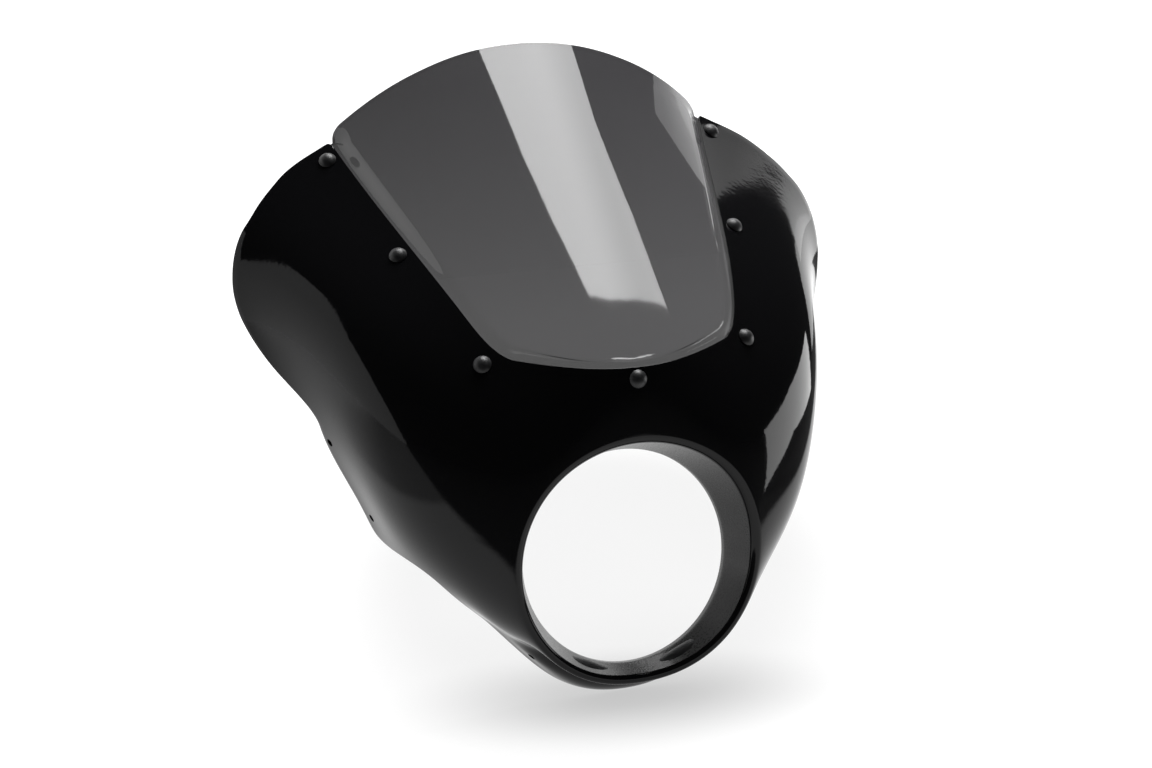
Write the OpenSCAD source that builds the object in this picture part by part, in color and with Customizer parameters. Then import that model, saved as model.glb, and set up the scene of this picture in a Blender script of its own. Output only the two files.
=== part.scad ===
// Semi-fairing for a single round headlight, with a smoked windscreen.
// Millimetres, +Z up, -Y to the front, symmetric about X = 0.
// The origin is the centre of the rear edge of the headlight opening,
// and the axis of that opening is the Y axis.

/* [Shell] */
// Radius of the headlight opening at its rear edge
opening_r = 83; // [82:0.5:84]
// Length of the straight land at the rear edge of the opening
land_l = 5; // [4:0.5:6]
// Thickness of the moulded shell
sheet_t = 3; // [2.5:0.25:3]
// Diameter of the six mounting holes in the side flanges
flange_hole_d = 6.5; // [5:0.5:7]

/* [Windscreen] */
// Thickness of the screen
screen_t = 3; // [2.5:0.25:3.5]
// Width of the screen flange that lies behind the shell
screen_flange_w = 18; // [16:0.5:19]
// Gap between the shell and the screen flange
screen_gap = 0.6; // [0.4:0.1:0.8]
// Backward lean of the screen, mm of depth per mm of height
screen_rake = 0.916; // [0.9:0.002:0.93]
// Width of the step between the screen flange and the panel
screen_step_w = 11; // [9:0.5:13]

/* [Screen fasteners] */
// Diameter of the clearance holes for the screen bolts
bolt_hole_d = 5.5; // [5.2:0.1:6.5]
// Shank diameter of the screen bolts
bolt_d = 5; // [4:0.5:5]
// Diameter of the domed bolt heads
head_d = 14; // [12:0.5:15]
// Height of the domed bolt heads
head_h = 4.4; // [3:0.2:5]
// Outside diameter of the washers
washer_d = 12; // [10:0.5:14]
// Thickness of the washers
washer_t = 1.2; // [0.8:0.2:1.6]
// Width across the flats of the nuts
nut_af = 8; // [7.5:0.5:10]
// Height of the nuts
nut_h = 4; // [3:0.5:5]

/* [Hidden] */
head_gap = 0.25;   // clearance under the bolt heads
stack_gap = 0.45;  // clearance between the screen, washers and nuts

// The shell is one smooth master surface in polar form about the Y axis:
// th = 0 is the top, 90 the +X side, 180 the bottom. Nine sections, one
// each 22.5 degrees, are blended by a uniform cubic B-spline.
// rim: depth of the front lip ahead of the origin, flare angle, lip radius
rim = [
  [45, 14.0, 8], [44, 15.0, 8], [43, 18.0, 8], [38, 19.0, 7], [32, 19.5, 5.5],
  [31, 19.5, 4.2], [29, 19.5, 4], [24, 20.5, 4], [19, 22.0, 4]];
// face: start angle, length of the first leg, then four control points
// (radius, y) of the section outside the lip
face = [
  [-14, 30, 223, -60, 346,  16, 425, 127, 479, 210],
  [ -7, 26, 193, -17, 250,  87, 317, 184, 344, 207],
  [  4, 20, 183, -24, 283,  37, 347, 123, 394, 180],
  [ 22, 14, 169, -17, 206,  51, 180, 127, 205, 130],
  [ 33,  6, 132,  -9, 151,  36, 160,  70, 152, 101],
  [ 37,  4, 120,   9,  98,  29, 114,  51, 117,  66],
  [ 42,  4,  83,  -7, 112,  -4,  97,  30, 115,  44],
  [ 50,  4,  69, -11, 106,  -4, 113,  16, 108,  36],
  [ 56,  4,  95,  -9, 102,   1, 110,  13, 107,  33]];
// edge of the screen opening in the front view (x, z), three curves
cut = [
  [[0, 152], [42, 152], [84, 161.5]],
  [[84, 161.5], [97.7, 164.6], [108, 188.5]],
  [[108, 188.5], [135, 251], [157, 316]],
  [[157, 316], [158.6, 320.8], [162.2, 318.9]]];
// rear edge: angle and radius on the shoulder, then angle and depth y
rear_r = [[28.5, 358], [31, 358.8], [33.5, 359], [36, 357.6], [38.5, 355.8], [41, 353]];
rear_y = [
  [43, 170], [45.5, 167.5], [48, 164.5], [50, 161.5], [52, 156.5], [53.5, 150.5],
  [55, 143], [56.5, 133.5], [57.8, 122.5], [59, 112.5], [60.2, 105.5], [61.5, 102.3],
  [63, 103.5], [65, 105.2], [68, 105.6], [71.5, 103.6], [75, 101], [78.5, 100],
  [81.5, 100], [83.5, 98.5], [85, 92.5], [86.2, 80], [87.1, 64], [88.3, 49],
  [90.2, 37.5], [93, 30.5], [97, 28], [103, 28.5], [110, 30], [117, 31.5],
  [124, 31.5], [131, 29.5], [138, 27], [145, 24.5], [152, 22.5], [159, 21],
  [166, 20], [173, 19.5], [180, 19.3]];
// mounting holes of the flanges: angle and depth y
flange_holes = [[64.4, 98], [78.7, 88.5], [134.3, 11]];
// screen bolts: x and z in the front view
bolt_xz = [[0, 143], [107.3, 159.6], [140.5, 237], [164.8, 306.8]];

function mir(i) = let (a = abs(i)) a > 8 ? 16 - a : a;
function bw(u) = [pow(1 - u, 3), 3*u*u*u - 6*u*u + 4, -3*u*u*u + 3*u*u + 3*u + 1, u*u*u] / 6;
function row(tab, th) = let (s = abs(th)/22.5, i = min(floor(s), 7), w = bw(s - i))
  w[0]*tab[mir(i - 1)] + w[1]*tab[i] + w[2]*tab[mir(i + 1)] + w[3]*tab[mir(i + 2)];
// control polygon of one section, then lip centre, rim data and start angle
function knots(th) = let (
    r = row(rim, th), c = row(face, th),
    cen = [opening_r + (r[0] - land_l)*tan(r[1]) + r[2]*cos(r[1]), -r[0] + r[2]*sin(r[1])],
    p0 = cen + r[2]*[sin(c[0]), -cos(c[0])],
    p1 = p0 + c[1]*[cos(c[0]), sin(c[0])])
  [p0, p1, [c[2], c[3]], [c[4], c[5]], [c[6], c[7]], [c[8], c[9]], cen, r, c[0]];
function bez(a, b, c, d, u) = let (v = 1 - u) v*v*v*a + 3*v*v*u*b + 3*v*u*u*c + u*u*u*d;
function bez2(q, u) = let (v = 1 - u) v*v*q[0] + 2*v*u*q[1] + u*u*q[2];
function prof(k, t) = let (
    n = min(floor(3*t), 2), u = 3*t - n,
    m = (k[1] + k[2])/2, e = (2*k[2] + k[3])/3, f = (k[2] + 2*k[3])/3, g = (k[3] + k[4])/2,
    b = (m + e)/2, c = (f + g)/2)
  n == 0 ? bez(k[0], k[1], m, b, u) : n == 1 ? bez(b, e, f, c, u) : bez(c, g, k[4], k[5], u);
function at(th, q) = [q[0]*sin(th), q[1], q[0]*cos(th)];
function skin(th, t) = at(th, prof(knots(th), t));
// parameter at which coordinate c of a section (0 radius, 1 depth) reaches v
function find(k, c, v, a, b, n = 15) = n == 0 ? (a + b)/2 :
  let (m = (a + b)/2) prof(k, m)[c] < v ? find(k, c, v, m, b, n - 1) : find(k, c, v, a, m, n - 1);
function t_front(x, z) = find(knots(atan2(x, z)), 0, norm([x, z]), 0, 1);
function unit(v) = v/norm(v);
function skin_normal(th, t) = unit(cross(
  skin(th + 0.5, t) - skin(th - 0.5, t), skin(th, t) - skin(th, t - 0.01)));
function flip(p) = [-p[0], p[1], p[2]];

// boundary of one half of the shell as (angle, parameter) pairs
function cut_xz() = concat(
  [for (i = [0:7]) bez2(cut[0], i/8)], [for (i = [0:5]) bez2(cut[1], i/6)],
  [for (i = [0:13]) bez2(cut[2], i/14)], [for (i = [0:3]) bez2(cut[3], i/3)]);
rim_out = concat(
  [for (p = cut_xz()) [atan2(p[0], p[1]), t_front(p[0], p[1])]],
  [for (e = rear_r) [e[0], find(knots(e[0]), 0, e[1], 0.2, 1)]],
  [for (e = rear_y) [e[0], find(knots(e[0]), 1, e[1], 0.2, 1)]]);
n_half = len(rim_out);
// lip angle that each boundary point is joined to
function lip_th(i) =
  i <= 8 ? 28*i/8 : i <= 14 ? 28 + 7*(i - 8)/6 : i <= 28 ? 35 + 22*(i - 14)/14 :
  i <= 31 ? 57 + 2*(i - 28)/3 : let (a = rim_out[i][0])
  a < 52 ? 59 + 11*(a - 26.5)/25.5 : a < 64 ? 70 + 8*(a - 52)/12 :
  a < 83.5 ? 78 + 10*(a - 64)/19.5 : a < 88.5 ? 88 + 3*(a - 83.5)/5 :
  a < 97 ? 91 + 15*(a - 88.5)/8.5 : 106 + 74*(a - 97)/83;
v_rows = [0.06, 0.14, 0.24, 0.35, 0.47, 0.6, 0.73, 0.85, 0.94, 1];
arc_n = 3;
// visible side of one column, from the rear edge of the bore to the outer edge
function col(i) = let (
    a = lip_th(i), k = knots(a), r = k[7], s = tan(r[1]), c0 = 180 + r[1], c1 = 270 + k[8],
    o = rim_out[i])
  concat(
    [at(a, [opening_r - 1, 0]), at(a, [opening_r - 1, -land_l + 1/s])],
    [for (j = [0:arc_n]) at(a, k[6] + r[2]*[cos(c0 + (c1 - c0)*j/arc_n), sin(c0 + (c1 - c0)*j/arc_n)])],
    [for (v = v_rows) skin(a + (o[0] - a)*v, o[1]*v)]);
cols = [for (i = [0:n_half - 1]) col(i)];
n_row = len(cols[0]);
// hidden side, one sheet thickness behind the visible one
function grid_normal(g, i, j, n) = let (
    p = i > 0 ? g[i - 1][j] : flip(g[1][j]), q = i < n - 1 ? g[i + 1][j] : flip(g[n - 2][j]),
    m = len(g[0]) - 1)
  unit(cross(q - p, g[i][min(j + 1, m)] - g[i][max(j - 1, 0)]));
// normal at row j of column i, taken from the grid near the lip and from the surface beyond
function col_normal(i, j) = let (
    a = lip_th(i), o = rim_out[i], k = j - arc_n - 3,
    n = k < 2 ? grid_normal(cols, i, j, n_half) : skin_normal(a + (o[0] - a)*v_rows[k], o[1]*v_rows[k]))
  i == 0 || i == n_half - 1 ? unit([0, n[1], n[2]]) : n;
function back_col(i) = let (a = lip_th(i), r = knots(a)[7])
  concat(
    [at(a, [opening_r + sheet_t, 0]), at(a, [opening_r + sheet_t, -land_l + (1/cos(r[1]) - 1)*sheet_t/tan(r[1]) ])],
    [for (j = [2:n_row - 1]) cols[i][j] - sheet_t*col_normal(i, j)]);
backs = [for (i = [0:n_half - 1]) back_col(i)];

// closed sheet over a ring of columns; both halves share the centre columns
function ring(g, n) = concat(g, [for (i = [n - 2:-1:1]) [for (p = g[i]) flip(p)]]);
module sheet_ring(front, back, n, m) {
  k = 2*n - 2;
  pts = concat([for (c = ring(front, n)) for (p = c) p], [for (c = ring(back, n)) for (p = c) p]);
  b = k*m;
  polyhedron(pts, concat(
    [for (i = [0:k - 1]) for (j = [0:m - 2]) let (a = i*m + j, c = ((i + 1)%k)*m + j) each
      (i < n - 1 ? [[a, a + 1, c], [c, a + 1, c + 1]] : [[a, c + 1, c], [a, a + 1, c + 1]])],
    [for (i = [0:k - 1]) for (j = [0:m - 2]) let (a = b + i*m + j, c = b + ((i + 1)%k)*m + j) each
      (i < n - 1 ? [[a, c, a + 1], [c, c + 1, a + 1]] : [[a, c, c + 1], [a, c + 1, a + 1]])],
    [for (i = [0:k - 1]) let (a = i*m, c = ((i + 1)%k)*m) each
      [[a, c, b + a], [c, b + c, b + a]]],
    [for (i = [0:k - 1]) let (a = i*m + m - 1, c = ((i + 1)%k)*m + m - 1) each
      [[a, b + a, c], [c, b + a, b + c]]]), convexity = 8);
}

// places children with +Z along the outward normal of the shell
module on_skin(th, t, sx = 1) {
  p = skin(th, t);
  n = skin_normal(th, t);
  translate([sx*p[0], p[1], p[2]])
    rotate([0, acos(n[2]), atan2(n[1], sx*n[0])]) children();
}
module at_bolts() {
  for (b = bolt_xz) let (th = atan2(b[0], b[1]), t = t_front(b[0], b[1])) {
    on_skin(th, t) children();
    if (b[0] > 0) on_skin(th, t, -1) children();
  }
}
module at_flange_holes() {
  for (h = flange_holes) let (t = find(knots(h[0]), 1, h[1], 0.2, 1))
    for (sx = [-1, 1]) on_skin(h[0], t, sx) children();
}

module fairing_shell() color([0.03, 0.03, 0.035]) difference() {
  sheet_ring(cols, backs, n_half, n_row);
  translate([0, 1, 0]) rotate([90, 0, 0]) cylinder(r = opening_r, h = 9 + land_l, $fn = 180);
  at_bolts() translate([0, 0, -8]) cylinder(d = bolt_hole_d, h = 12, $fn = 32);
  at_flange_holes() translate([0, 0, -8]) cylinder(d = flange_hole_d, h = 12, $fn = 32);
}

// The screen: flange behind the shell round the opening, a step, and a panel
// that leans back. d is the distance from the opening edge toward its inside.
screen_top = [
  [[156.2, 321], [156, 329], [147, 336]],
  [[147, 336], [116, 361.5], [79, 375]],
  [[79, 375], [42, 389.5], [0, 389.5]]];
function panel_r(z) = 190 + 2.5*ln(1 + exp((312 - z)/15));
function panel_y(x, z) = let (r = panel_r(z))
  -50 + screen_rake*(z - 152) + r - sqrt(r*r - x*x);
function skin_y(x, z) = prof(knots(atan2(x, z)), t_front(x, z))[1];
function flange_y(x, z) = let (
    y = skin_y(x, z), e = 0.5,
    gx = (skin_y(x + e, z) - skin_y(x - e, z))/(2*e), gz = (skin_y(x, z + e) - skin_y(x, z - e))/(2*e))
  y + (sheet_t + screen_gap)*sqrt(1 + gx*gx + gz*gz);
function smooth(u) = let (v = min(max(u, 0), 1)) v*v*(3 - 2*v);
function edge_pt(i) =
  i <= 8 ? bez2(cut[0], i/8) : i <= 14 ? bez2(cut[1], (i - 8)/6) : bez2(cut[2], (i - 14)/14);
function edge_in(i) = let (
    q = i <= 7 ? cut[0] : i <= 13 ? cut[1] : cut[2],
    u = i <= 7 ? i/8 : i <= 13 ? (i - 8)/6 : (i - 14)/14,
    d = (1 - u)*(q[1] - q[0]) + u*(q[2] - q[1]))
  [-d[1], d[0]]/norm(d);
// columns: 0..27 along the opening, then the end of the flange, then the top
flange_end = [[166.3, 313.4, 1], [160.4, 317.4, 1], [156.8, 318.9, 0.8]];
n_top = 16;
function top_pt(u) = u < 1 ? bez2(screen_top[0], u) : u < 2 ? bez2(screen_top[1], u - 1) : bez2(screen_top[2], u - 2);
d_rows = [0, 0.25, 0.48, 0.62, 0.72, 0.82, 0.92, 1];
s_rows = [0.2, 0.45, 0.72, 1];
// start point, end of the edge zone, share of flange
function scol(i) =
  i <= 26 ? let (p = edge_pt(i), n = edge_in(i), w = i < 25 ? 1 : i == 25 ? 1 : 1)
      [p - screen_flange_w*n, p + (screen_step_w + 2)*n, 1] :
  i <= 29 ? let (f = flange_end[i - 27], p = bez2(cut[2], 0.955 + 0.022*(i - 27)), n = edge_in(27))
      [[f[0], f[1]], p + (screen_step_w + 2)*n, f[2]] :
  let (u = (i - 30)/n_top, v = 3*pow(u, 1.15), a = top_pt(v), m = [0, 342 + 22*u])
      [a, a + 12*unit(m - a), i == 30 ? 0.6 : i == 31 ? 0.35 : i == 32 ? 0.15 : i == 33 ? 0.05 : 0];
n_scr = 31 + n_top;
function spine_z(i) = 168 + 208*pow(i/(n_scr - 1), 1.05);
function scr_y(x, z, d, h) = let (p = panel_y(x, z))
  h == 0 ? p : let (w = smooth((d - 1.6)/screen_step_w), f = flange_y(x, z))
  h*((1 - w)*f + w*p) + (1 - h)*p;
function scr_col(i) = let (
    c = scol(i), a = c[0], b = c[1], s = [0, spine_z(i)],
    l = norm(b - a), d0 = (screen_step_w + 2) - l,
    e = i == 0 ? [0, 164] : i == n_scr - 1 ? [0, 382] : b)
  concat(
    [for (f = d_rows) let (q = a + (e - a)*f) [q[0], scr_y(q[0], q[1], d0 + f*l, c[2]), q[1]]],
    [for (g = s_rows) let (q = e + (s - e)*g) [q[0], panel_y(q[0], q[1]), q[1]]]);
scr = [for (i = [0:n_scr - 1]) scr_col(i)];
m_scr = len(scr[0]);
function scr_normal(i, j) = j == m_scr - 1 ?
  let (u = scr[min(i + 1, n_scr - 1)][j] - scr[max(i - 1, 0)][j]) unit([0, -u[2], u[1]]) :
  let (p = i > 0 ? scr[i - 1][j] : flip(scr[1][j]), q = i < n_scr - 1 ? scr[i + 1][j] : flip(scr[n_scr - 2][j]))
  unit(cross(q - p, scr[i][j + 1] - scr[i][max(j - 1, 0)]));
scr_back = [for (i = [0:n_scr - 1]) [for (j = [0:m_scr - 1]) scr[i][j] - screen_t*scr_normal(i, j)]];

k_scr = 2*n_scr - 2;
l_scr = m_scr - 1;                // rows that are not on the spine
b_scr = k_scr*l_scr + n_scr;
function id(i, j) = j < l_scr ? (i%k_scr)*l_scr + j :
  k_scr*l_scr + (i%k_scr < n_scr ? i%k_scr : k_scr - i%k_scr);
function scr_pts(g) = concat([for (c = ring(g, n_scr)) for (j = [0:l_scr - 1]) c[j]],
  [for (c = g) [0, c[l_scr][1], c[l_scr][2]]]);
// which diagonal splits a cell; it never joins two points of the centre plane
function first_way(i) = i < n_scr - 2 || i == n_scr - 1;
module windscreen() color([0.25, 0.24, 0.26, 0.8]) difference() {
  polyhedron(concat(scr_pts(scr), scr_pts(scr_back)), concat(
    [for (i = [0:k_scr - 1]) for (j = [0:l_scr - 1])
      let (a = id(i, j), c = id(i + 1, j), d = id(i, j + 1), e = id(i + 1, j + 1)) each
      (first_way(i) ? [[a, d, c], [c, d, e]] : [[a, e, c], [a, d, e]])],
    [for (i = [0:k_scr - 1]) for (j = [0:l_scr - 1])
      let (a = b_scr + id(i, j), c = b_scr + id(i + 1, j), d = b_scr + id(i, j + 1), e = b_scr + id(i + 1, j + 1)) each
      (first_way(i) ? [[a, c, d], [c, e, d]] : [[a, c, e], [a, e, d]])],
    [for (i = [0:k_scr - 1]) let (a = id(i, 0), c = id(i + 1, 0)) each
      [[a, c, b_scr + a], [c, b_scr + c, b_scr + a]]]), convexity = 6);
  at_bolts() translate([0, 0, -14]) cylinder(d = bolt_hole_d, h = 16, $fn = 32);
}

// fastener stack along the normal of the shell
z_washer = -(sheet_t + screen_gap + screen_t + stack_gap);
z_nut = z_washer - washer_t - 0.1;
head_sag = (head_d*head_d/4 + head_h*head_h)/(2*head_h);
module bolt() {
  rotate_extrude($fn = 48) polygon(concat(
    [[0, z_nut - nut_h - 1.6], [bolt_d/2 - 0.5, z_nut - nut_h - 1.6], [bolt_d/2, z_nut - nut_h - 1.1],
     [bolt_d/2, head_gap], [head_d/2 - 0.4, head_gap], [head_d/2, head_gap + 0.4]],
    [for (a = [1:8]) let (s = asin(head_d/2/head_sag)*(1 - a/8)) [a == 8 ? 0 : head_sag*sin(s), head_gap + 0.4 + head_h - head_sag*(1 - cos(s))]]));
}
module screen_bolts() color([0.05, 0.05, 0.05]) at_bolts() bolt();
module screen_washers() color([0.08, 0.08, 0.08]) at_bolts()
  translate([0, 0, z_washer - washer_t]) difference() {
    cylinder(d = washer_d, h = washer_t, $fn = 48);
    translate([0, 0, -1]) cylinder(d = bolt_d + 0.4, h = washer_t + 2, $fn = 48);
  }
module screen_nuts() color([0.6, 0.6, 0.6]) at_bolts()
  translate([0, 0, z_nut - nut_h]) difference() {
    cylinder(d = nut_af/cos(30), h = nut_h, $fn = 6);
    translate([0, 0, -1]) cylinder(d = bolt_d, h = nut_h + 2, $fn = 48);
  }

fairing_shell();
windscreen();
screen_bolts();
screen_washers();
screen_nuts();
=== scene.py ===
import math
import bpy
import bmesh
import numpy as np
from mathutils import Matrix, Vector


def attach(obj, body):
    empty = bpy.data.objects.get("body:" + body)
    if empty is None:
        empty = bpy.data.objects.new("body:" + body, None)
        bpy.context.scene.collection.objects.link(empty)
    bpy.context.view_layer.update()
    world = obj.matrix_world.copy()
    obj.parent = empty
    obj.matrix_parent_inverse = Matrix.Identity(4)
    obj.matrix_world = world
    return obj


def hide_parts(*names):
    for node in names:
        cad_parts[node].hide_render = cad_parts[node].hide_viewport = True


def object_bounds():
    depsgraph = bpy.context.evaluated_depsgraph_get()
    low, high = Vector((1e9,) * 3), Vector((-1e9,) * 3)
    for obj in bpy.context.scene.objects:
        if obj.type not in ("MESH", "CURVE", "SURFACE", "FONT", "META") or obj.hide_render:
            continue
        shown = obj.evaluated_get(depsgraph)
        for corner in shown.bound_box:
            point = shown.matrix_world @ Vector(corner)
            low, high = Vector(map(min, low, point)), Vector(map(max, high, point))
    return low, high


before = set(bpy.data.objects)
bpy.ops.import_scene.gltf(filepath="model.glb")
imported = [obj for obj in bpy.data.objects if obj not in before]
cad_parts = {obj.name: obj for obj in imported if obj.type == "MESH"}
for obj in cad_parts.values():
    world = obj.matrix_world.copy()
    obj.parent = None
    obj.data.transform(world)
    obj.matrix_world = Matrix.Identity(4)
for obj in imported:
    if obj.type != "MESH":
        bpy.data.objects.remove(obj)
CAD_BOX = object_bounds()
MM = 0.001

# ---------------------------------------------------------------- camera
RIGHT = Vector((0.934290, -0.352736, -0.051767))
DOWN = Vector((-0.100228, -0.120529, -0.987637))
FWD = Vector((0.342136, 0.927928, -0.147963))
CAM = Vector((-0.7823, -2.0394, 0.4612))
cam_data = bpy.data.cameras.new("photo_camera")
cam = bpy.data.objects.new("photo_camera", cam_data)
bpy.context.collection.objects.link(cam)
cam_data.sensor_fit = "HORIZONTAL"
cam_data.sensor_width = 36.0
cam_data.lens = 36.0*2901.5/1152.0
cam_data.clip_end = 50
rot = Matrix((RIGHT, -DOWN, -FWD)).transposed()
cam.matrix_world = Matrix.Translation(CAM) @ rot.to_4x4()
bpy.context.scene.camera = cam

# ---------------------------------------------------------------- shape functions (mm)
OPEN_R, LAND, SHEET, GAP = 83.0, 5.0, 3.0, 0.6
RIM = np.array([
    [45, 14.0, 8], [44, 15.0, 8], [43, 18.0, 8], [38, 19.0, 7], [32, 19.5, 5.5],
    [31, 19.5, 4.2], [29, 19.5, 4], [24, 20.5, 4], [19, 22.0, 4]], float)
FACE = np.array([
    [-14, 30, 223, -60, 346, 16, 425, 127, 479, 210],
    [-7, 26, 193, -17, 250, 87, 317, 184, 344, 207],
    [4, 20, 183, -24, 283, 37, 347, 123, 394, 180],
    [22, 14, 169, -17, 206, 51, 180, 127, 205, 130],
    [33, 6, 132, -9, 151, 36, 160, 70, 152, 101],
    [37, 4, 120, 9, 98, 29, 114, 51, 117, 66],
    [42, 4, 83, -7, 112, -4, 97, 30, 115, 44],
    [50, 4, 69, -11, 106, -4, 113, 16, 108, 36],
    [56, 4, 95, -9, 102, 1, 110, 13, 107, 33]], float)
CUT = [np.array(q, float) for q in (
    [[0, 152], [42, 152], [84, 161.5]],
    [[84, 161.5], [97.7, 164.6], [108, 188.5]],
    [[108, 188.5], [135, 251], [157, 316]],
    [[157, 316], [158.6, 320.8], [162.2, 318.9]])]
REAR_R = [[28.5, 358], [31, 358.8], [33.5, 359], [36, 357.6], [38.5, 355.8], [41, 353]]
REAR_Y = [
    [43, 170], [45.5, 167.5], [48, 164.5], [50, 161.5], [52, 156.5], [53.5, 150.5],
    [55, 143], [56.5, 133.5], [57.8, 122.5], [59, 112.5], [60.2, 105.5], [61.5, 102.3],
    [63, 103.5], [65, 105.2], [68, 105.6], [71.5, 103.6], [75, 101], [78.5, 100],
    [81.5, 100], [83.5, 98.5], [85, 92.5], [86.2, 80], [87.1, 64], [88.3, 49],
    [90.2, 37.5], [93, 30.5], [97, 28], [103, 28.5], [110, 30], [117, 31.5],
    [124, 31.5], [131, 29.5], [138, 27], [145, 24.5], [152, 22.5], [159, 21],
    [166, 20], [173, 19.5], [180, 19.3]]
HOLES = [[64.4, 98], [78.7, 88.5], [134.3, 11]]
BOLTS = [[0, 143], [107.3, 159.6], [140.5, 237], [164.8, 306.8]]


def mir(i):
    i = np.abs(i)
    return np.where(i > 8, 16 - i, i)


def row(tab, th):
    s = np.abs(np.atleast_1d(th))/22.5
    i = np.minimum(np.floor(s).astype(int), 7)
    u = (s - i)[:, None]
    w = [(1 - u)**3, 3*u**3 - 6*u**2 + 4, -3*u**3 + 3*u**2 + 3*u + 1, u**3]
    return sum(w[k]*tab[mir(i - 1 + k)] for k in range(4))/6


def knots(th):
    r, c = row(RIM, th), row(FACE, th)
    f, a = np.radians(r[:, 1]), np.radians(c[:, 0])
    cen = np.stack([OPEN_R + (r[:, 0] - LAND)*np.tan(f) + r[:, 2]*np.cos(f), -r[:, 0] + r[:, 2]*np.sin(f)], 1)
    p0 = cen + r[:, 2:3]*np.stack([np.sin(a), -np.cos(a)], 1)
    p1 = p0 + c[:, 1:2]*np.stack([np.cos(a), np.sin(a)], 1)
    return np.stack([p0, p1, c[:, 2:4], c[:, 4:6], c[:, 6:8], c[:, 8:10]], 1), cen, r, c[:, 0]


def bez(a, b, c, d, u):
    v = 1 - u
    return v**3*a + 3*v*v*u*b + 3*v*u*u*c + u**3*d


def prof(k, t):
    t = np.asarray(t, float)
    n = np.minimum(np.floor(3*t), 2)
    u = (3*t - n)[:, None]
    k0, k1, k2, k3, k4, k5 = (k[:, i] for i in range(6))
    m, e, f, g = (k1 + k2)/2, (2*k2 + k3)/3, (k2 + 2*k3)/3, (k3 + k4)/2
    b, c = (m + e)/2, (f + g)/2
    n = n[:, None]
    return np.where(n == 0, bez(k0, k1, m, b, u), np.where(n == 1, bez(b, e, f, c, u), bez(c, g, k4, k5, u)))


def skin(th, t):
    th = np.atleast_1d(np.asarray(th, float))
    q = prof(knots(th)[0], np.broadcast_to(t, th.shape))
    a = np.radians(th)
    return np.stack([q[:, 0]*np.sin(a), q[:, 1], q[:, 0]*np.cos(a)], 1)


def find(th, comp, v, lo=0.0, hi=1.0):
    th = np.atleast_1d(np.asarray(th, float))
    k = knots(th)[0]
    a, b = np.full(th.shape, lo), np.full(th.shape, hi)
    for _ in range(30):
        m = (a + b)/2
        low = prof(k, m)[:, comp] < v
        a, b = np.where(low, m, a), np.where(low, b, m)
    return (a + b)/2


def front_t(x, z):
    return find(np.degrees(np.arctan2(x, z)), 0, np.hypot(x, z))


def skin_y(x, z):
    th = np.degrees(np.arctan2(x, z))
    return prof(knots(th)[0], front_t(x, z))[:, 1]


def skin_normal(th, t):
    th = np.atleast_1d(np.asarray(th, float))
    t = np.broadcast_to(t, th.shape)
    n = np.cross(skin(th + 0.3, t) - skin(th - 0.3, t), skin(th, t + 0.0) - skin(th, t - 0.005))
    return n/np.linalg.norm(n, axis=1)[:, None]


def bez2(q, u):
    u = np.asarray(u, float)[..., None]
    return (1 - u)**2*q[0] + 2*(1 - u)*u*q[1] + u*u*q[2]


def catmull(p, s):
    """value of the smooth curve through rows of p at fractional index s"""
    p = np.asarray(p, float)
    s = np.clip(np.asarray(s, float), 0, len(p) - 1)
    i = np.minimum(np.floor(s).astype(int), len(p) - 2)
    u = (s - i).reshape((-1,) + (1,)*(p.ndim - 1))
    a = p[np.maximum(i - 1, 0)]
    b, c = p[i], p[i + 1]
    d = p[np.minimum(i + 2, len(p) - 1)]
    a = np.where((i == 0).reshape(u.shape), 2*b - c, a)
    d = np.where((i == len(p) - 2).reshape(u.shape), 2*c - b, d)
    return 0.5*(2*b + (c - a)*u + (2*a - 5*b + 4*c - d)*u*u + (3*b - a - 3*c + d)*u**3)


def unit(v):
    return v/np.maximum(np.linalg.norm(v, axis=-1, keepdims=True), 1e-12)


# ---------------------------------------------------------------- mesh helpers
def piece_from(name, verts_mm, faces, mats, face_mat=None):
    me = bpy.data.meshes.new(name)
    lo, hi = (np.array([float(k) for k in c]) for c in CAD_BOX)
    inside = np.clip(np.asarray(verts_mm)*MM, lo + 5e-6, hi - 5e-6)
    me.from_pydata([tuple(v) for v in inside], [], faces)
    me.update()
    for m in mats:
        me.materials.append(m)
    if face_mat is not None:
        me.polygons.foreach_set("material_index", np.asarray(face_mat, np.int32))
    ob = bpy.data.objects.new(name, me)
    bpy.context.collection.objects.link(ob)
    return ob


def smooth_shade(ob, deg=35):
    me = ob.data
    me.polygons.foreach_set("use_smooth", np.ones(len(me.polygons), bool))
    me.set_sharp_from_angle(angle=math.radians(deg))


def grid_normals(g):
    """unit normals of a half grid [column, row, xyz]; the first and last columns lie on x = 0"""
    left = g[1:2]*[-1, 1, 1]
    right = g[-2:-1]*[-1, 1, 1]
    e = np.concatenate([left, g, right], 0)
    du = e[2:] - e[:-2]
    dv = np.empty_like(g)
    dv[:, 1:-1] = g[:, 2:] - g[:, :-2]
    dv[:, 0] = g[:, 1] - g[:, 0]
    dv[:, -1] = g[:, -1] - g[:, -2]
    return unit(np.cross(du, dv))


# ---------------------------------------------------------------- materials
def node_mat(name):
    m = bpy.data.materials.new(name)
    m.use_nodes = True
    nt = m.node_tree
    bsdf = nt.nodes["Principled BSDF"]
    return m, nt, bsdf


def link(nt, a, b):
    nt.links.new(a, b)


def obj_coords(nt):
    return nt.nodes.new("ShaderNodeTexCoord").outputs["Object"]


def noise(nt, co, scale, detail=2.0, rough=0.5):
    n = nt.nodes.new("ShaderNodeTexNoise")
    n.inputs["Scale"].default_value = scale
    n.inputs["Detail"].default_value = detail
    n.inputs["Roughness"].default_value = rough
    link(nt, co, n.inputs["Vector"])
    return n


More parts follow.
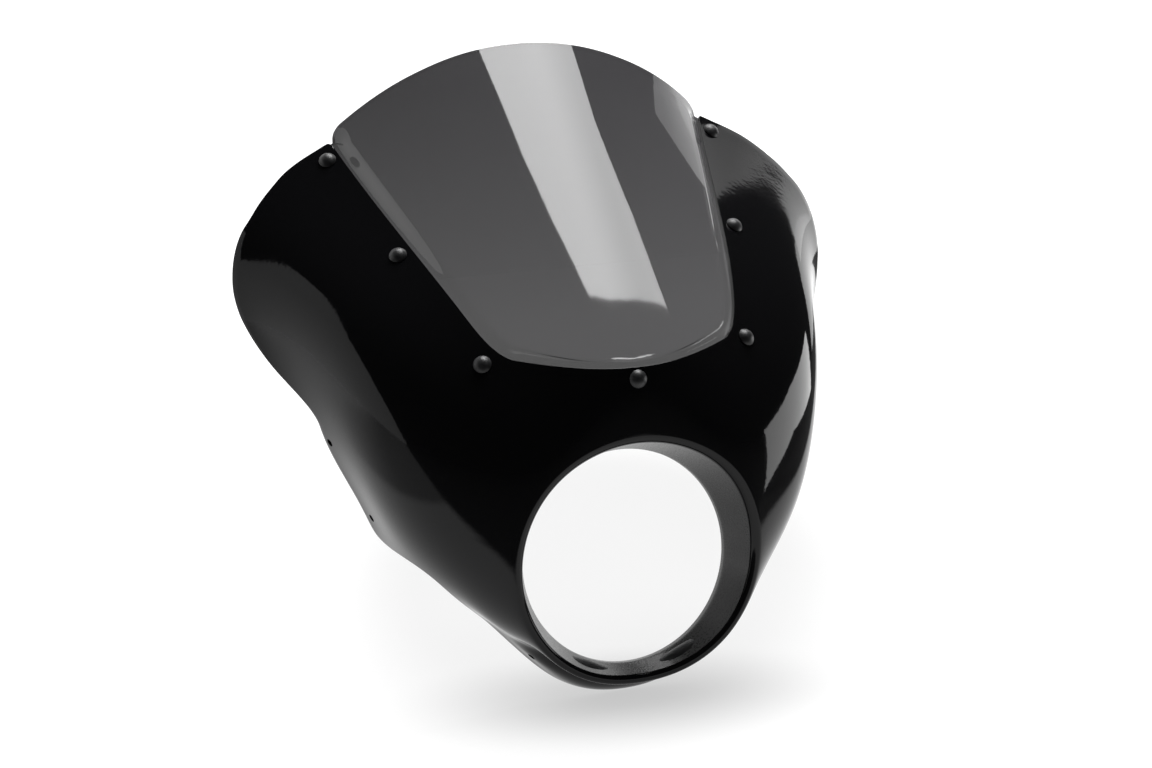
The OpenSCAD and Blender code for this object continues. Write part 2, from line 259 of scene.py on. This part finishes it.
def map_range(nt, src, a, b, c, d):
    n = nt.nodes.new("ShaderNodeMapRange")
    n.inputs["From Min"].default_value = a
    n.inputs["From Max"].default_value = b
    n.inputs["To Min"].default_value = c
    n.inputs["To Max"].default_value = d
    link(nt, src, n.inputs["Value"])
    return n


def bump(nt, height, strength, dist, normal=None):
    n = nt.nodes.new("ShaderNodeBump")
    n.inputs["Strength"].default_value = strength
    n.inputs["Distance"].default_value = dist
    link(nt, height, n.inputs["Height"])
    if normal is not None:
        link(nt, normal, n.inputs["Normal"])
    return n


def gloss_black():
    m, nt, b = node_mat("gloss_black")
    co = obj_coords(nt)
    b.inputs["Base Color"].default_value = (0.004, 0.004, 0.0045, 1)
    b.inputs["IOR"].default_value = 1.32
    fine = noise(nt, co, 900, 2)
    r = map_range(nt, fine.outputs["Fac"], 0.3, 0.8, 0.045, 0.075)
    link(nt, r.outputs["Result"], b.inputs["Roughness"])
    peel = noise(nt, co, 260, 1.5)
    wave = noise(nt, co, 28, 1)
    b1 = bump(nt, peel.outputs["Fac"], 0.05, 0.0004)
    b2 = bump(nt, wave.outputs["Fac"], 0.05, 0.002, b1.outputs["Normal"])
    link(nt, b2.outputs["Normal"], b.inputs["Normal"])
    return m


def wall_black():
    """the opening's inner wall, duller than the painted face"""
    m, nt, b = node_mat("wall_black")
    co = obj_coords(nt)
    cloud = noise(nt, co, 40, 3)
    ramp = nt.nodes.new("ShaderNodeValToRGB")
    ramp.color_ramp.elements[0].position = 0.35
    ramp.color_ramp.elements[0].color = (0.016, 0.016, 0.0165, 1)
    ramp.color_ramp.elements[1].position = 0.75
    ramp.color_ramp.elements[1].color = (0.024, 0.024, 0.0245, 1)
    link(nt, cloud.outputs["Fac"], ramp.inputs["Fac"])
    link(nt, ramp.outputs["Color"], b.inputs["Base Color"])
    b.inputs["IOR"].default_value = 1.42
    grain = noise(nt, co, 700, 2)
    r = map_range(nt, grain.outputs["Fac"], 0.3, 0.7, 0.24, 0.34)
    link(nt, r.outputs["Result"], b.inputs["Roughness"])
    b1 = bump(nt, grain.outputs["Fac"], 0.12, 0.0003)
    link(nt, b1.outputs["Normal"], b.inputs["Normal"])
    return m


def inner_black():
    m, nt, b = node_mat("inner_black")
    co = obj_coords(nt)
    cloud = noise(nt, co, 30, 3)
    ramp = nt.nodes.new("ShaderNodeValToRGB")
    ramp.color_ramp.elements[0].position = 0.35
    ramp.color_ramp.elements[0].color = (0.010, 0.010, 0.011, 1)
    ramp.color_ramp.elements[1].position = 0.75
    ramp.color_ramp.elements[1].color = (0.022, 0.022, 0.024, 1)
    link(nt, cloud.outputs["Fac"], ramp.inputs["Fac"])
    link(nt, ramp.outputs["Color"], b.inputs["Base Color"])
    grain = noise(nt, co, 1400, 3)
    r = map_range(nt, grain.outputs["Fac"], 0.3, 0.7, 0.42, 0.6)
    link(nt, r.outputs["Result"], b.inputs["Roughness"])
    b1 = bump(nt, grain.outputs["Fac"], 0.35, 0.0004)
    link(nt, b1.outputs["Normal"], b.inputs["Normal"])
    return m


def smoke():
    m, nt, b = node_mat("smoke_acrylic")
    co = obj_coords(nt)
    cloud = noise(nt, co, 9, 2)
    ramp = nt.nodes.new("ShaderNodeValToRGB")
    ramp.color_ramp.elements[0].position = 0.3
    ramp.color_ramp.elements[0].color = (0.026, 0.0245, 0.028, 1)
    ramp.color_ramp.elements[1].position = 0.7
    ramp.color_ramp.elements[1].color = (0.030, 0.0285, 0.032, 1)
    link(nt, cloud.outputs["Fac"], ramp.inputs["Fac"])
    link(nt, ramp.outputs["Color"], b.inputs["Base Color"])
    sep = nt.nodes.new("ShaderNodeSeparateXYZ")
    link(nt, co, sep.inputs["Vector"])
    al = map_range(nt, sep.outputs[2], 0.12, 0.36, 0.725, 0.835)
    link(nt, al.outputs["Result"], b.inputs["Alpha"])
    b.inputs["IOR"].default_value = 1.49
    fine = noise(nt, co, 700, 2)
    r = map_range(nt, fine.outputs["Fac"], 0.3, 0.8, 0.02, 0.045)
    link(nt, r.outputs["Result"], b.inputs["Roughness"])
    wave = noise(nt, co, 18, 1)
    b1 = bump(nt, wave.outputs["Fac"], 0.03, 0.002)
    link(nt, b1.outputs["Normal"], b.inputs["Normal"])
    return m


def satin_black():
    m, nt, b = node_mat("satin_black")
    co = obj_coords(nt)
    cloud = noise(nt, co, 160, 3)
    ramp = nt.nodes.new("ShaderNodeValToRGB")
    ramp.color_ramp.elements[0].color = (0.012, 0.012, 0.013, 1)
    ramp.color_ramp.elements[1].color = (0.024, 0.024, 0.025, 1)
    link(nt, cloud.outputs["Fac"], ramp.inputs["Fac"])
    link(nt, ramp.outputs["Color"], b.inputs["Base Color"])
    r = map_range(nt, cloud.outputs["Fac"], 0.3, 0.7, 0.40, 0.48)
    link(nt, r.outputs["Result"], b.inputs["Roughness"])
    grain = noise(nt, co, 2600, 2)
    b1 = bump(nt, grain.outputs["Fac"], 0.15, 0.0002)
    link(nt, b1.outputs["Normal"], b.inputs["Normal"])
    return m


def nylon():
    m, nt, b = node_mat("nylon_black")
    co = obj_coords(nt)
    grain = noise(nt, co, 900, 3)
    ramp = nt.nodes.new("ShaderNodeValToRGB")
    ramp.color_ramp.elements[0].color = (0.018, 0.018, 0.019, 1)
    ramp.color_ramp.elements[1].color = (0.035, 0.035, 0.036, 1)
    link(nt, grain.outputs["Fac"], ramp.inputs["Fac"])
    link(nt, ramp.outputs["Color"], b.inputs["Base Color"])
    b.inputs["Roughness"].default_value = 0.55
    b1 = bump(nt, grain.outputs["Fac"], 0.2, 0.0002)
    link(nt, b1.outputs["Normal"], b.inputs["Normal"])
    return m


def zinc():
    m, nt, b = node_mat("zinc_steel")
    co = obj_coords(nt)
    n = noise(nt, co, 500, 4, 0.6)
    ramp = nt.nodes.new("ShaderNodeValToRGB")
    ramp.color_ramp.elements[0].color = (0.42, 0.42, 0.43, 1)
    ramp.color_ramp.elements[1].color = (0.62, 0.62, 0.60, 1)
    link(nt, n.outputs["Fac"], ramp.inputs["Fac"])
    link(nt, ramp.outputs["Color"], b.inputs["Base Color"])
    b.inputs["Metallic"].default_value = 1.0
    r = map_range(nt, n.outputs["Fac"], 0.3, 0.7, 0.25, 0.42)
    link(nt, r.outputs["Result"], b.inputs["Roughness"])
    b1 = bump(nt, n.outputs["Fac"], 0.1, 0.0002)
    link(nt, b1.outputs["Normal"], b.inputs["Normal"])
    return m


M_WALL = wall_black()
M_GLOSS, M_INNER, M_SMOKE, M_SATIN, M_NYLON, M_ZINC = gloss_black(), inner_black(), smoke(), satin_black(), nylon(), zinc()

# ---------------------------------------------------------------- shell
cut_xz = np.concatenate([bez2(CUT[0], np.arange(8)/8), bez2(CUT[1], np.arange(6)/6),
                         bez2(CUT[2], np.arange(14)/14), bez2(CUT[3], np.arange(4)/3)])
th_o = np.degrees(np.arctan2(cut_xz[:, 0], cut_xz[:, 1]))
t_o = front_t(cut_xz[:, 0], cut_xz[:, 1])
rr, ry = np.array(REAR_R, float), np.array(REAR_Y, float)
th_o = np.concatenate([th_o, rr[:, 0], ry[:, 0]])
t_o = np.concatenate([t_o, find(rr[:, 0], 0, rr[:, 1], 0.2), find(ry[:, 0], 1, ry[:, 1], 0.2)])


def lip_angle(i, a):
    if i <= 8:
        return 28*i/8
    if i <= 14:
        return 28 + 7*(i - 8)/6
    if i <= 28:
        return 35 + 22*(i - 14)/14
    if i <= 31:
        return 57 + 2*(i - 28)/3
    if a < 52:
        return 59 + 11*(a - 26.5)/25.5
    if a < 64:
        return 70 + 8*(a - 52)/12
    if a < 83.5:
        return 78 + 10*(a - 64)/19.5
    if a < 88.5:
        return 88 + 3*(a - 83.5)/5
    if a < 97:
        return 91 + 15*(a - 88.5)/8.5
    return 106 + 74*(a - 97)/83


th_i = np.array([lip_angle(i, th_o[i]) for i in range(len(th_o))])
NF = 4
s_f = np.linspace(0, len(th_o) - 1, (len(th_o) - 1)*NF + 1)
bound = catmull(np.stack([th_o, t_o, th_i], 1), s_f)
bound[0, [0, 2]] = 0
bound[-1, [0, 2]] = 180
TO, TT, TI = bound.T
NC = len(TO)

EDGE = 0.55                      # rounding of the sheet's cut edges
kn, cen, rim, al = knots(TI)
rad = np.radians(TI)


def ring_at(q):
    return np.stack([q[:, 0]*np.sin(rad), q[:, 1], q[:, 0]*np.cos(rad)], 1)


fl = np.radians(rim[:, 1])
rows = []
for y in (0.0, -1.2, -2.4, -3.6, -4.6):      # land at the rear of the bore
    rows.append(ring_at(np.stack([np.full(NC, OPEN_R), np.full(NC, y)], 1)))
for f in np.linspace(0.02, 0.97, 12):        # flared wall
    y = -LAND + f*(-rim[:, 0] + LAND)
    rows.append(ring_at(np.stack([OPEN_R + (-y - LAND)*np.tan(fl), y], 1)))
c0, c1 = np.pi + fl, 1.5*np.pi + np.radians(al)
for j in range(11):                           # lip
    a = c0 + (c1 - c0)*j/10
    rows.append(ring_at(cen + rim[:, 2:3]*np.stack([np.cos(a), np.sin(a)], 1)))
n_wall = len(rows)
SKIN_V = np.concatenate([np.linspace(0.012, 0.12, 8), np.linspace(0.145, 0.985, 36)])
for v in SKIN_V:
    rows.append(skin(TI + (TO - TI)*v, TT*v))
rows.append(skin(TO, TT))
G = np.stack(rows, 1)                         # [column, row, xyz]
G[0, :, 0] = 0
G[-1, :, 0] = 0
N = grid_normals(G)
for j in range(n_wall + 4, G.shape[1]):       # on the skin the surface gives the normal itself
    v = 1.0 if j == G.shape[1] - 1 else SKIN_V[j - n_wall]
    n = skin_normal(TI + (TO - TI)*v, TT*v)
    n[[0, -1], 0] = 0
    n = unit(n)
    same = np.sign((n*N[:, j]).sum(1).mean())
    N[:, j] = n*same
# the last row moves in a little, and a rounded edge closes the sheet
E = unit(G[:, -1] - G[:, -2])
FRONT = G.copy()
FRONT[:, -1] = G[:, -1] - EDGE*E
nl = N[:, -1]
P = G[:, -1]


def rounded(p, e, n, r, t):
    out = []
    for a in (22.5, 45, 67.5, 90):
        s, c = math.sin(math.radians(a)), math.cos(math.radians(a))
        out.append(p - r*e + r*s*e - r*(1 - c)*n)
    for a in (90, 67.5, 45, 22.5, 0):
        s, c = math.sin(math.radians(a)), math.cos(math.radians(a))
        out.append(p - r*e + r*s*e - (t - r + r*c)*n)
    return out


BACK = G - SHEET*N
BACK[:, 0] = ring_at(np.stack([np.full(NC, OPEN_R + SHEET), np.zeros(NC)], 1))
for j, y in ((1, -1.2), (2, -2.4), (3, -3.6)):
    BACK[:, j] = ring_at(np.stack([np.full(NC, OPEN_R + SHEET), np.full(NC, y)], 1))
edge_rows = rounded(P, E, nl, EDGE, SHEET)
loop = np.concatenate([FRONT, np.stack(edge_rows, 1), BACK[:, -2:0:-1], BACK[:, 0:1]], 1)


def closed_ring(loop, close_rows=True):
    """verts and quads of a half grid mirrored to a ring; rows close on themselves"""
    k, m = loop.shape[:2]
    full = np.concatenate([loop, loop[-2:0:-1]*[-1, 1, 1]], 0)
    kk = len(full)
    i = np.arange(kk)[:, None]
    j = np.arange(m if close_rows else m - 1)[None]
    i2, j2 = (i + 1) % kk, (j + 1) % m
    q = np.stack([i*m + j, i*m + j2, i2*m + j2, i2*m + j], -1).reshape(-1, 4)
    jj = np.broadcast_to(j, (kk, j.shape[1])).reshape(-1)
    return full.reshape(-1, 3), q[:, ::-1], jj


V, Q, J = closed_ring(loop)
inner = np.where(J >= FRONT.shape[1] + 8, 1, np.where(J < n_wall - 11, 2, 0))
shell = piece_from("shell_skin", V, Q.tolist(), [M_GLOSS, M_INNER, M_WALL], inner)


def local_frame(th, t, sx):
    p, n = skin(th, t)[0], skin_normal(th, t)[0]
    p, n = Vector((sx*p[0], p[1], p[2])), Vector((sx*n[0], n[1], n[2]))
    q = n.to_track_quat("Z", "Y")
    return Matrix.Translation(p*MM) @ q.to_matrix().to_4x4()


def all_frames():
    out = []
    for x, z in BOLTS:
        th = math.degrees(math.atan2(x, z))
        t = front_t(np.array([float(x)]), np.array([float(z)]))[0]
        for sx in ((1,) if x == 0 else (1, -1)):
            out.append(local_frame(th, t, sx))
    return out


def cutter(frames, r, lo, hi, name):
    bm = bmesh.new()
    for f in frames:
        res = bmesh.ops.create_cone(bm, cap_ends=True, segments=40, radius1=r*MM, radius2=r*MM, depth=(hi - lo)*MM)
        bmesh.ops.transform(bm, matrix=f @ Matrix.Translation((0, 0, (hi + lo)/2*MM)), verts=res["verts"])
    me = bpy.data.meshes.new(name)
    bm.to_mesh(me)
    bm.free()
    ob = bpy.data.objects.new(name, me)
    bpy.context.collection.objects.link(ob)
    return ob


def boolean_cut(ob, tool):
    md = ob.modifiers.new("holes", "BOOLEAN")
    md.operation = "DIFFERENCE"
    md.solver = "EXACT"
    md.object = tool
    dg = bpy.context.evaluated_depsgraph_get()
    me = bpy.data.meshes.new_from_object(ob.evaluated_get(dg))
    ob.modifiers.remove(md)
    old = ob.data
    ob.data = me
    bpy.data.meshes.remove(old)
    bpy.data.objects.remove(tool)


BF = all_frames()
HF = []
for th, y in HOLES:
    t = find([th], 1, y, 0.2)[0]
    HF += [local_frame(th, t, 1), local_frame(th, t, -1)]
bm = bmesh.new()
tool = cutter(HF, 3.25, -8, 4, "hole_tool")
tool2 = cutter(BF, 2.75, -8, 4, "hole_tool2")
boolean_cut(shell, tool)
boolean_cut(shell, tool2)
bm.free()
smooth_shade(shell, 32)
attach(shell, "root")
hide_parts("fairing_shell")

# ---------------------------------------------------------------- windscreen
FLANGE_W, STEP_W, SCR_T, RAKE = 18.0, 11.0, 3.0, 0.916
TOP = [np.array(q, float) for q in (
    [[156.2, 321], [156, 329], [147, 336]],
    [[147, 336], [116, 361.5], [79, 375]],
    [[79, 375], [42, 389.5], [0, 389.5]])]
FLANGE_END = [[166.3, 313.4, 1], [160.4, 317.4, 1], [156.8, 318.9, 0.8]]
N_TOP = 16


def panel_y(x, z):
    r = 190 + 2.5*np.log1p(np.exp((312 - z)/15))
    return -50 + RAKE*(z - 152) + r - np.sqrt(r*r - x*x)


def flange_y(x, z):
    e = 0.5
    gx = (skin_y(x + e, z) - skin_y(x - e, z))/(2*e)
    gz = (skin_y(x, z + e) - skin_y(x, z - e))/(2*e)
    return skin_y(x, z) + (SHEET + GAP)*np.sqrt(1 + gx*gx + gz*gz)


def smoothstep(u):
    u = np.clip(u, 0, 1)
    return u*u*(3 - 2*u)


def edge_pt(i):
    return bez2(CUT[0], i/8) if i <= 8 else bez2(CUT[1], (i - 8)/6) if i <= 14 else bez2(CUT[2], (i - 14)/14)


def edge_in(i):
    q, u = (CUT[0], i/8) if i <= 7 else (CUT[1], (i - 8)/6) if i <= 13 else (CUT[2], (i - 14)/14)
    d = (1 - u)*(q[1] - q[0]) + u*(q[2] - q[1])
    return np.array([-d[1], d[0]])/np.hypot(*d)


def top_pt(u):
    return bez2(TOP[0], u) if u < 1 else bez2(TOP[1], u - 1) if u < 2 else bez2(TOP[2], u - 2)


cols = []
n_scr = 31 + N_TOP
for i in range(n_scr):
    if i <= 26:
        p, n = edge_pt(i), edge_in(i)
        a, b, h = p - FLANGE_W*n, p + (STEP_W + 2)*n, 1.0
    elif i <= 29:
        f = FLANGE_END[i - 27]
        p, n = bez2(CUT[2], 0.955 + 0.022*(i - 27)), edge_in(27)
        a, b, h = np.array(f[:2]), p + (STEP_W + 2)*n, f[2]
    else:
        u = (i - 30)/N_TOP
        a = top_pt(3*u**1.15)
        m = np.array([0, 342 + 22*u])
        b = a + 12*(m - a)/np.hypot(*(m - a))
        h = {30: 0.6, 31: 0.35, 32: 0.15, 33: 0.05}.get(i, 0.0)
    sp = 168 + 208*(i/(n_scr - 1))**1.05
    if i == 0:
        b = np.array([0.0, 164.0])
    if i == n_scr - 1:
        b = np.array([0.0, 382.0])
    cols.append([a[0], a[1], b[0], b[1], sp, h])
cols = np.array(cols)
NS = 4
s_s = np.linspace(0, n_scr - 1, (n_scr - 1)*NS + 1)
C = catmull(cols, s_s)
C[:, 5] = np.clip(C[:, 5], 0, 1)
C[[0, -1], 0] = 0
C[[0, -1], 2] = 0
A, B, SP, H = C[:, 0:2], C[:, 2:4], C[:, 4], C[:, 5]
L = np.hypot(*(B - A).T)
D0 = STEP_W + 2 - L
SW = STEP_W - 5.5*(1 - smoothstep((s_s - 4)/6))
srows = []
for f in np.concatenate([[0.0], np.linspace(0.03, 0.5, 9), np.linspace(0.53, 1.0, 24)]):
    q = A + (B - A)*f
    x, z = q[:, 0], q[:, 1]
    w = smoothstep((D0 + f*L - 1.6)/SW)
    pan = panel_y(x, z)
    fl_y = flange_y(x, z)
    y = np.where(H > 0.001, H*((1 - w)*fl_y + w*pan) + (1 - H)*pan, pan)
    srows.append(np.stack([x, y, z], 1))
for g in np.linspace(0.06, 0.96, 20):
    x = B[:, 0]*(1 - g)
    z = B[:, 1]*(1 - g) + SP*g
    srows.append(np.stack([x, panel_y(x, z), z], 1))
SG = np.stack(srows, 1)
spine = np.stack([np.zeros(len(SP)), panel_y(np.zeros(len(SP)), SP), SP], 1)
ext = np.concatenate([SG, spine[:, None]], 1)
mirror_next = SG[:, -1]*[-1, 1, 1]
NG = grid_normals(ext)
ds = np.gradient(spine, axis=0)
NG[:, -1] = unit(np.stack([0*ds[:, 0], -ds[:, 2], ds[:, 1]], 1))
ext[:, 0] = SG[:, 0]
BS = ext - SCR_T*NG
# rounded outer edge of the screen
e0 = unit(SG[:, 0] - SG[:, 1])
p0 = ext[:, 0].copy()
rs = 0.9
front0 = p0 - rs*e0
ext2 = ext.copy()
ext2[:, 0] = front0
er = rounded(p0, e0, NG[:, 0], rs, SCR_T)
# loop order: spine front -> outer edge -> back -> spine back
loop_s = np.concatenate([ext2[:, ::-1], np.stack(er, 1), BS[:, 1:]], 1)
k, m = loop_s.shape[:2]
full = np.concatenate([loop_s, loop_s[-2:0:-1]*[-1, 1, 1]], 0)
kk = len(full)
ids = np.arange(kk*m).reshape(kk, m)
for i in range(k, kk):            # both halves share the spine
    ids[i, 0] = ids[kk - i, 0]
    ids[i, -1] = ids[kk - i, -1]
i1 = np.arange(kk)
i2 = (i1 + 1) % kk
quads = np.stack([ids[i1][:, :-1], ids[i1][:, 1:], ids[i2][:, 1:], ids[i2][:, :-1]], -1).reshape(-1, 4)
used, inv = np.unique(quads, return_inverse=True)
quads = inv.reshape(-1, 4)
scr_v = full.reshape(-1, 3)[used]
clean = []
for q in quads.tolist():
    o = []
    for a in q:
        if a not in o:
            o.append(a)
    if len(o) >= 3:
        clean.append(o)
screen = piece_from("screen_panel", scr_v, clean, [M_SMOKE])
bmx = bmesh.new()
bmx.from_mesh(screen.data)
bmesh.ops.recalc_face_normals(bmx, faces=bmx.faces)
bmx.to_mesh(screen.data)
bmx.free()
tool3 = cutter(BF, 2.75, -16, 2, "hole_tool3")
boolean_cut(screen, tool3)
smooth_shade(screen, 40)
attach(screen, "root")
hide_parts("windscreen")

# ---------------------------------------------------------------- fasteners
HEAD_D, HEAD_H, BOLT_D = 14.0, 4.4, 5.0
z_washer = -(SHEET + GAP + SCR_T + 0.45)
z_nut = z_washer - 1.2 - 0.1
tip = z_nut - 4 - 1.6
sag = (HEAD_D**2/4 + HEAD_H**2)/(2*HEAD_H)
prof_pts = [(0, tip), (BOLT_D/2 - 0.5, tip), (BOLT_D/2, tip + 0.5), (BOLT_D/2, 0.25), (HEAD_D/2 - 0.35, 0.25),
            (HEAD_D/2 - 0.08, 0.35), (HEAD_D/2, 0.6)]
for i in range(1, 15):
    a = math.asin(HEAD_D/2/sag)*(1 - i/14)
    prof_pts.append((sag*math.sin(a) if i < 14 else 0, 0.25 + 0.4 + HEAD_H - sag*(1 - math.cos(a))))


def lathe(frames, pts, name, mat, seg=48):
    vs, fs = [], []
    for f in frames:
        base = len(vs)
        ringi = []
        for r, z in pts:
            if r == 0:
                ringi.append([len(vs)])
                vs.append(f @ Vector((0, 0, z*MM)))
            else:
                ringi.append(list(range(len(vs), len(vs) + seg)))
                for s in range(seg):
                    a = 2*math.pi*s/seg
                    vs.append(f @ Vector((r*math.cos(a)*MM, r*math.sin(a)*MM, z*MM)))
        for a, b in zip(ringi[:-1], ringi[1:]):
            for s in range(seg):
                t = (s + 1) % seg
                if len(a) == 1:
                    fs.append((a[0], b[t], b[s]))
                elif len(b) == 1:
                    fs.append((a[s], a[t], b[0]))
                else:
                    fs.append((a[s], a[t], b[t], b[s]))
    me = bpy.data.meshes.new(name)
    lo, hi = (np.array([float(k) for k in c]) for c in CAD_BOX)
    me.from_pydata([tuple(v) for v in np.clip(np.array([tuple(v) for v in vs]), lo + 5e-6, hi - 5e-6)], [], fs)
    me.update()
    me.materials.append(mat)
    ob = bpy.data.objects.new(name, me)
    bpy.context.collection.objects.link(ob)
    smooth_shade(ob, 40)
    return ob


bolts = lathe(BF, prof_pts, "dome_bolts", M_SATIN)
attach(bolts, "root")
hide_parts("screen_bolts")

for nm, mat in (("screen_washers", M_NYLON), ("screen_nuts", M_ZINC)):
    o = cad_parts[nm]
    for s in o.material_slots:
        s.material = mat
    if not o.material_slots:
        o.data.materials.append(mat)

# ---------------------------------------------------------------- stage
def card(name, verts, strength, colour=(0.8, 0.8, 0.8)):
    """a flat glowing card with the given corners in metres"""
    me = bpy.data.meshes.new(name)
    me.from_pydata(verts, [], [tuple(range(len(verts)))])
    ob = bpy.data.objects.new(name, me)
    bpy.context.collection.objects.link(ob)
    m, nt, b = node_mat(name + "_mat")
    b.inputs["Base Color"].default_value = (*colour, 1)
    b.inputs["Roughness"].default_value = 0.9
    b.inputs["Emission Color"].default_value = (1, 1, 1, 1)
    b.inputs["Emission Strength"].default_value = strength
    me.materials.append(m)
    return ob


FLOOR_Z = -0.1105
floor = card("floor", [(-8, -8, FLOOR_Z), (8, -8, FLOOR_Z), (8, 8, FLOOR_Z), (-8, 8, FLOOR_Z)], 1.0, (0.03, 0.03, 0.03))
fm = floor.data.materials[0].node_tree
sep = fm.nodes.new("ShaderNodeSeparateXYZ")
fm.links.new(obj_coords(fm), sep.inputs["Vector"])
FX, FY = sep.outputs[0], sep.outputs[1]


def fmath(op, a, b=None, c=None):
    n = fm.nodes.new("ShaderNodeMath")
    n.operation = op
    for k, v in enumerate((a, b, c)):
        if v is None:
            continue
        if isinstance(v, (int, float)):
            n.inputs[k].default_value = v
        else:
            fm.links.new(v, n.inputs[k])
    return n.outputs[0]


def fsmooth(v, lo, hi):
    n = fm.nodes.new("ShaderNodeMapRange")
    n.interpolation_type = "SMOOTHSTEP"
    fm.links.new(v, n.inputs["Value"])
    n.inputs["From Min"].default_value = lo
    n.inputs["From Max"].default_value = hi
    return n.outputs["Result"]


def fline(px, py, dx, dy):
    """distance from the line through (px, py), counted along the unit direction (dx, dy)"""
    return fmath("MULTIPLY_ADD", FX, dx, fmath("MULTIPLY_ADD", FY, dy, -(px*dx + py*dy)))


# the lit part of the table: its front edge passes just in front of the object, its left end
# bends back, and its right end stops beside the frame
front_mid = fsmooth(fline(-0.30, -0.19, 0.346, 0.938), -0.05, 0.02)
front_left = fsmooth(fline(-0.30, -0.19, -0.168, 0.986), -0.05, 0.02)
lit = fmath("MAXIMUM", front_mid, fmath("MULTIPLY", front_left, fsmooth(FX, -0.30, -0.36)))
right_end = fsmooth(fline(-0.7823, -2.0394, -0.8456, 0.5334), -0.08, 0.0)
left_end = fsmooth(fline(-0.7823, -2.0394, 0.9907, -0.1348), -0.09, 0.0)
inner = fmath("MULTIPLY_ADD", fsmooth(FY, 0.8, 2.4), 0.35, 1.0)
outer = fmath("MULTIPLY_ADD", fsmooth(FY, 0.1, 0.8), 0.85, 0.45)
glow = fmath("MULTIPLY_ADD", left_end, fmath("SUBTRACT", inner, outer), outer)
glow = fmath("MULTIPLY", glow, right_end)


def soft_spot(px, py, r_along, r_side, lo, hi):
    """0 outside and 1 at the middle of a soft ellipse lying along the line of sight"""
    p = fmath("MULTIPLY", fline(px, py, 0.346, 0.938), 1/r_along)
    q = fmath("MULTIPLY", fline(px, py, 0.938, -0.346), 1/r_side)
    return fsmooth(fmath("SQRT", fmath("ADD", fmath("MULTIPLY", p, p), fmath("MULTIPLY", q, q))), lo, hi)


# soft shade under and behind the object
shade = fmath("MULTIPLY", fmath("MULTIPLY_ADD", soft_spot(0.16, 0.50, 0.85, 0.29, 1.0, 0.55), -0.20, 1.0),
              fmath("MULTIPLY_ADD", soft_spot(0.0, 0.0, 0.17, 0.20, 1.0, 0.1), -0.31, 1.0))
level = fmath("MULTIPLY", fmath("MULTIPLY", lit, glow), shade)
fm.links.new(fmath("MAXIMUM", level, 0.02), fm.nodes["Principled BSDF"].inputs["Emission Strength"])
card("back_card", [(-4.5, 2.9, -0.12), (4.5, 2.9, -0.12), (4.5, 2.9, 4.2), (-4.5, 2.9, 4.2)], 1.38, (0.03, 0.03, 0.03))
card("left_card", [(-3, -0.75, -0.12), (-3, 2.9, -0.12), (-3, 2.9, 3.0), (-3, 0.25, 2.9), (-3, 0.05, 1.7)], 0.5)
top = card("top_card", [(-0.15, 0.5, 1.75), (0.11, -0.05, 1.75), (0.19, -0.19, 1.75), (0.27, -0.27, 1.75), (0.40, -0.375, 1.75), (0.57, -0.355, 1.75), (0.74, -0.318, 1.75), (0.94, -0.265, 1.75), (1.16, -0.195, 1.75), (1.10, -0.06, 1.75), (1.0, 0.05, 1.75), (0.98, 0.2, 1.75), (1.0, 0.9, 1.75), (0, 0.9, 1.75)], 11)
tm = top.data.materials[0].node_tree
tsep = tm.nodes.new("ShaderNodeSeparateXYZ")
link(tm, obj_coords(tm), tsep.inputs["Vector"])
fall = map_range(tm, tsep.outputs[0], 0.60, 0.92, 11.8, 8.3)
link(tm, fall.outputs["Result"], tm.nodes["Principled BSDF"].inputs["Emission Strength"])
card("right_card", [(0.68, -0.19, -0.105), (0.68, 0.015, 0.02), (0.68, 0.30, 0.045), (0.68, 0.24, 0.21), (0.68, -0.03, 0.17), (0.68, -0.235, 0.09)], 3.2)
wing = card("wing_card", [(0.45, 0.257, 0.57), (0.45, 0.257, 0.36), (0.45, 0.262, 0.30), (0.45, 0.275, 0.24), (0.45, 0.70, 0.24), (0.45, 0.70, 0.52), (0.45, 0.40, 0.52), (0.45, 0.33, 0.55)], 1.6)
# a scrim that thins towards its top
wm = wing.data.materials[0].node_tree
wsep = wm.nodes.new("ShaderNodeSeparateXYZ")
link(wm, obj_coords(wm), wsep.inputs["Vector"])
thin = map_range(wm, wsep.outputs[2], 0.42, 0.53, 0.74, 0.47)
link(wm, thin.outputs["Result"], wm.nodes["Principled BSDF"].inputs["Alpha"])

world = bpy.data.worlds.new("room")
bpy.context.scene.world = world
world.use_nodes = True
world.node_tree.nodes["Background"].inputs["Color"].default_value = (1, 1, 1, 1)
world.node_tree.nodes["Background"].inputs["Strength"].default_value = 0.02
bpy.context.scene.view_settings.view_transform = "Standard"
